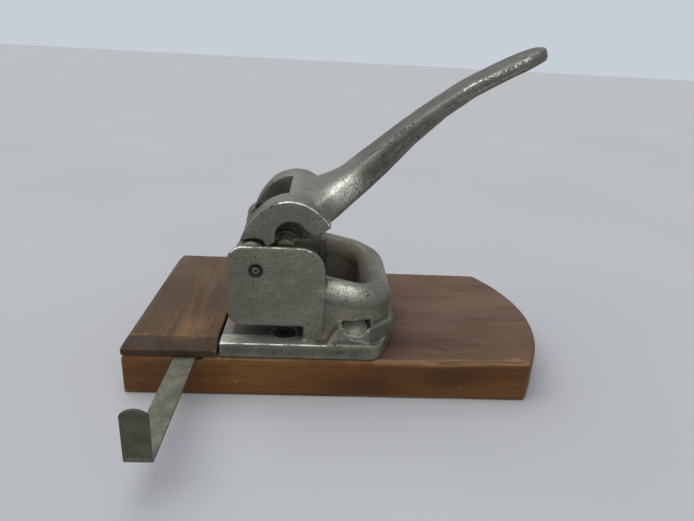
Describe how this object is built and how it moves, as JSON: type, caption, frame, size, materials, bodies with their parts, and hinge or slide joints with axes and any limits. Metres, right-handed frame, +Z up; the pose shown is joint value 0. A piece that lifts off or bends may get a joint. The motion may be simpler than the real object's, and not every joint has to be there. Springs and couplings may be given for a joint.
{
  "type": "desk paper punch",
  "caption": "Cast iron desk paper punch with a long curved lever over two punch heads, on a wooden board with a raised paper table and a sliding ruler stop.",
  "frame": {"origin": "middle of the base board's underside, at table height", "axes": "+X from the paper table towards the handle's end, +Y from the ruler stop towards the far head, +Z up"},
  "size_m": [0.278, 0.2433, 0.216],
  "materials": {
    "base_wood": "satin",
    "table_wood": "satin",
    "grey_casting": "satin",
    "worn_steel": "satin",
    "ground_steel": "satin",
    "spring_steel": "satin",
    "ruler_steel": "satin",
    "screw_steel": "satin",
    "screw_brass": "satin",
    "cover_sheet": "satin"
  },
  "bodies": {
    "stand": {"base_board": "base_wood", "table_board": "table_wood", "base_casting": "grey_casting", "fulcrum_shaft": "worn_steel", "near_guide_bush": "ground_steel", "far_guide_bush": "ground_steel", "near_die": "ground_steel", "far_die": "ground_steel", "ruler_spring": "spring_steel", "ridge_screws": "screw_steel", "flange_screws": "screw_steel", "table_screws": "screw_brass", "chip_cover": "cover_sheet", "chip_cover_screws": "screw_brass", "near_return_spring": "spring_steel", "far_return_spring": "spring_steel"},
    "handle_lever": {"lever": "grey_casting"},
    "near_punch_set": {"near_punch": "ground_steel", "near_cross_pin": "worn_steel", "near_spring_washer": "worn_steel"},
    "far_punch_set": {"far_punch": "ground_steel", "far_cross_pin": "worn_steel", "far_spring_washer": "worn_steel"},
    "ruler": {"guide_ruler": "ruler_steel"}
  },
  "joints": [
    {"name": "lever_hinge", "type": "hinge", "parent": "stand", "child": "handle_lever", "pos_m": [-0.0567, -0.01825, 0.0833], "axis": [0, 1, 0], "range_deg": [0, 34.5], "stiffness_Nm_per_rad": 2.2, "springref_deg": -37.24},
    {"name": "near_punch_slide", "type": "slide", "parent": "stand", "child": "near_punch_set", "axis": [0, 0, -1], "range_m": [0, 0.0125], "deforming": ["near_return_spring"]},
    {"name": "far_punch_slide", "type": "slide", "parent": "stand", "child": "far_punch_set", "axis": [0, 0, -1], "range_m": [0, 0.0125], "deforming": ["far_return_spring"]},
    {"name": "ruler_slide", "type": "slide", "parent": "stand", "child": "ruler", "axis": [0, -1, 0], "range_m": [-0.088, 0.045]}
  ],
  "couplings": [
    {"joint": "near_punch_slide", "follows": "lever_hinge", "m_per_rad": 0.0206},
    {"joint": "far_punch_slide", "follows": "lever_hinge", "m_per_rad": 0.0206}
  ]
}
